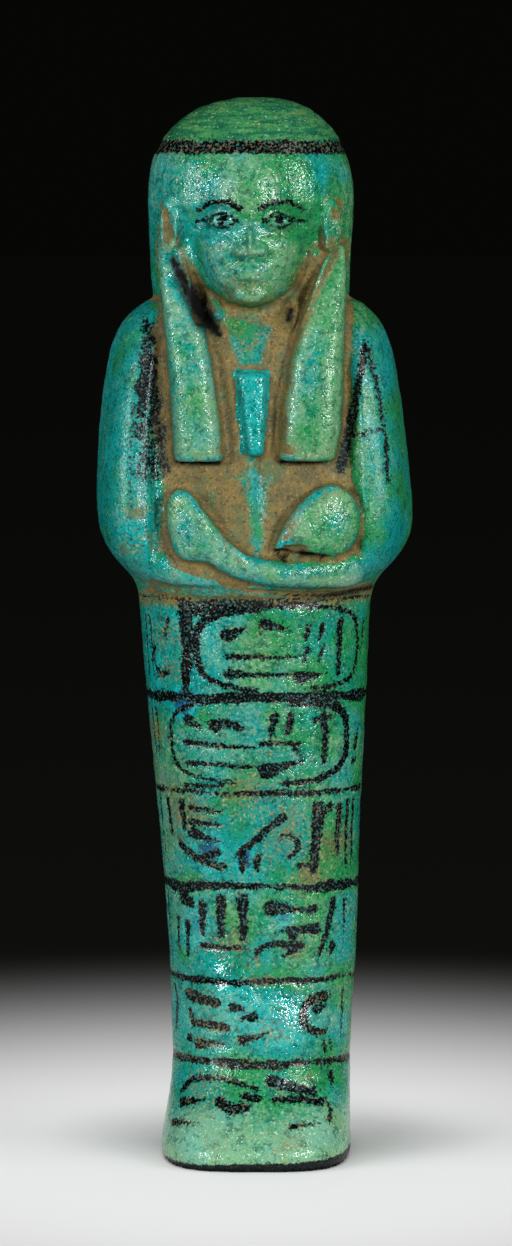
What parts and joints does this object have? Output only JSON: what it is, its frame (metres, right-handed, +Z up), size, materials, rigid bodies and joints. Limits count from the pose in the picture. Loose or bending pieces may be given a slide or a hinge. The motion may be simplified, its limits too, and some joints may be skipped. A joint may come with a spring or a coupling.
{
  "type": "ushabti figurine",
  "caption": "Standing mummy-shaped tomb figurine with wig, crossed arms and banded painted wrappings, moulded in turquoise-glazed faience with a flat sole.",
  "frame": {"origin": "on the flat sole, in the middle of the leg column", "axes": "+Z up along the figure from sole to crown, -Y out of the face and toes, +X to the figure's own left"},
  "size_m": [0.0345, 0.0254, 0.115],
  "materials": {
    "faience_glaze": "satin"
  },
  "bodies": {
    "root": {"ushabti_figurine": "faience_glaze"}
  },
  "joints": []
}
